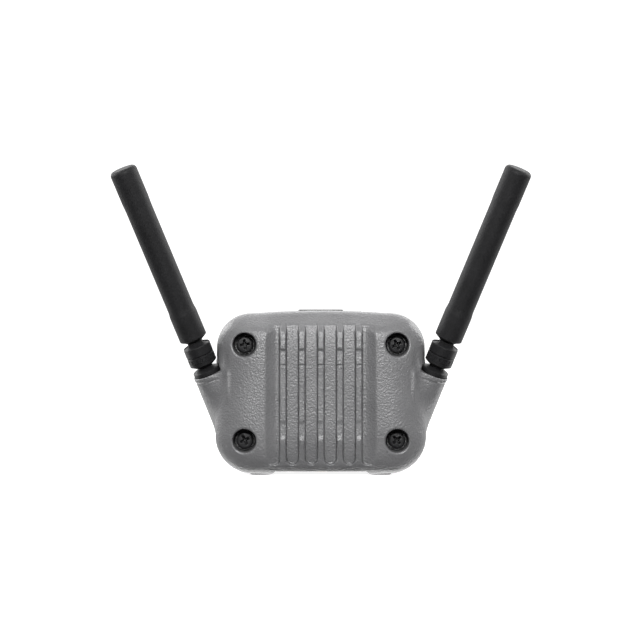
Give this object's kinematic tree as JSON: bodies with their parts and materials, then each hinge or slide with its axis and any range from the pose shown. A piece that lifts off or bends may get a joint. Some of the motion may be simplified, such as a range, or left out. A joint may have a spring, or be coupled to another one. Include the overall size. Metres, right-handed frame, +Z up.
{
  "type": "wireless receiver unit",
  "caption": "Compact rounded two-antenna wireless receiver: ribbed grey housing with deep-set cover screws and two tilting, swivelling black antennas in angled bosses.",
  "frame": {"origin": "centre of the mouth of the quarter-inch thread in the shallow recess of the underside", "axes": "+Z up, +X to the right seen from the ribbed face, ribbed face towards -Y, flat rear face towards +Y"},
  "size_m": [0.1698, 0.0505, 0.1272],
  "materials": {
    "housing_grey": "moulded, leather-textured",
    "seal_rubber": "matt",
    "black_screw": "black zinc",
    "zinc_steel": "zinc plated",
    "brass": "machined",
    "nickel_plate": "satin nickel",
    "circuit_board": "solder mask",
    "antenna_rubber": "matt",
    "antenna_plastic": "moulded",
    "lead_jacket": "extruded",
    "button_rubber": "silicone",
    "clear_lens": "polished",
    "capacitor_can": "drawn",
    "component_black": "moulded",
    "led_white": "moulded"
  },
  "bodies": {
    "housing": {"audio_output_jack": "component_black", "board_screws": "zinc_steel", "board_spacers": "zinc_steel", "board_stack_connector": "component_black", "cover_screw_inserts": "brass", "cover_screws": "black_screw", "filter_capacitors": "capacitor_can", "front_shell": "housing_grey", "left_antenna_base": "antenna_rubber", "left_antenna_jack": "brass", "left_antenna_lead": "lead_jacket", "left_antenna_seal": "seal_rubber", "left_coupling_ring": "antenna_plastic", "left_jack_nut": "nickel_plate", "left_lead_plug": "nickel_plate", "left_radio_shield": "nickel_plate", "main_circuit_board": "circuit_board", "pairing_switch": "component_black", "power_converter": "component_black", "power_inlet_socket": "nickel_plate", "power_switch": "component_black", "radio_circuit_board": "circuit_board", "rear_mount_inserts": "brass", "rear_shell": "housing_grey", "right_antenna_base": "antenna_rubber", "right_antenna_jack": "brass", "right_antenna_lead": "lead_jacket", "right_antenna_seal": "seal_rubber", "right_coupling_ring": "antenna_plastic", "right_jack_nut": "nickel_plate", "right_lead_plug": "nickel_plate", "right_radio_shield": "nickel_plate", "rubber_feet": "seal_rubber", "shell_gasket": "seal_rubber", "signal_processor": "component_black", "status_led": "led_white", "status_light_pipe": "clear_lens", "tripod_insert": "brass"},
    "left_knuckle": {"left_swivel_knuckle": "antenna_plastic", "left_swivel_clip": "zinc_steel", "left_tilt_pin": "zinc_steel"},
    "left_mast": {"left_antenna_mast": "antenna_rubber", "left_antenna_radiator": "brass"},
    "right_knuckle": {"right_swivel_knuckle": "antenna_plastic", "right_swivel_clip": "zinc_steel", "right_tilt_pin": "zinc_steel"},
    "right_mast": {"right_antenna_mast": "antenna_rubber", "right_antenna_radiator": "brass"},
    "power_button": {"power_button": "button_rubber"},
    "pairing_button": {"pairing_button": "button_rubber"}
  },
  "joints": [
    {"name": "left_antenna_swivel", "type": "hinge", "parent": "housing", "child": "left_knuckle", "pos_m": [-0.0472, -0.0165, 0.04175], "axis": [-0.349, -0.2437, 0.9049], "range_deg": [-170, 170]},
    {"name": "left_antenna_tilt", "type": "hinge", "parent": "left_knuckle", "child": "left_mast", "pos_m": [-0.05209, -0.01991, 0.05442], "axis": [0.0877, -0.9699, -0.2274], "range_deg": [-30, 30]},
    {"name": "right_antenna_swivel", "type": "hinge", "parent": "housing", "child": "right_knuckle", "pos_m": [0.0472, -0.0165, 0.04175], "axis": [0.349, -0.2437, 0.9049], "range_deg": [-170, 170]},
    {"name": "right_antenna_tilt", "type": "hinge", "parent": "right_knuckle", "child": "right_mast", "pos_m": [0.05209, -0.01991, 0.05442], "axis": [0.0877, 0.9699, 0.2274], "range_deg": [-30, 30]},
    {"name": "power_button_press", "type": "slide", "parent": "housing", "child": "power_button", "axis": [0, 0, -1], "range_m": [0, 0.0008], "stiffness_N_per_m": 1500, "springref_m": -0.0004},
    {"name": "pairing_button_press", "type": "slide", "parent": "housing", "child": "pairing_button", "axis": [-1, 0, 0], "range_m": [0, 0.0006], "stiffness_N_per_m": 1500, "springref_m": -0.0004}
  ]
}
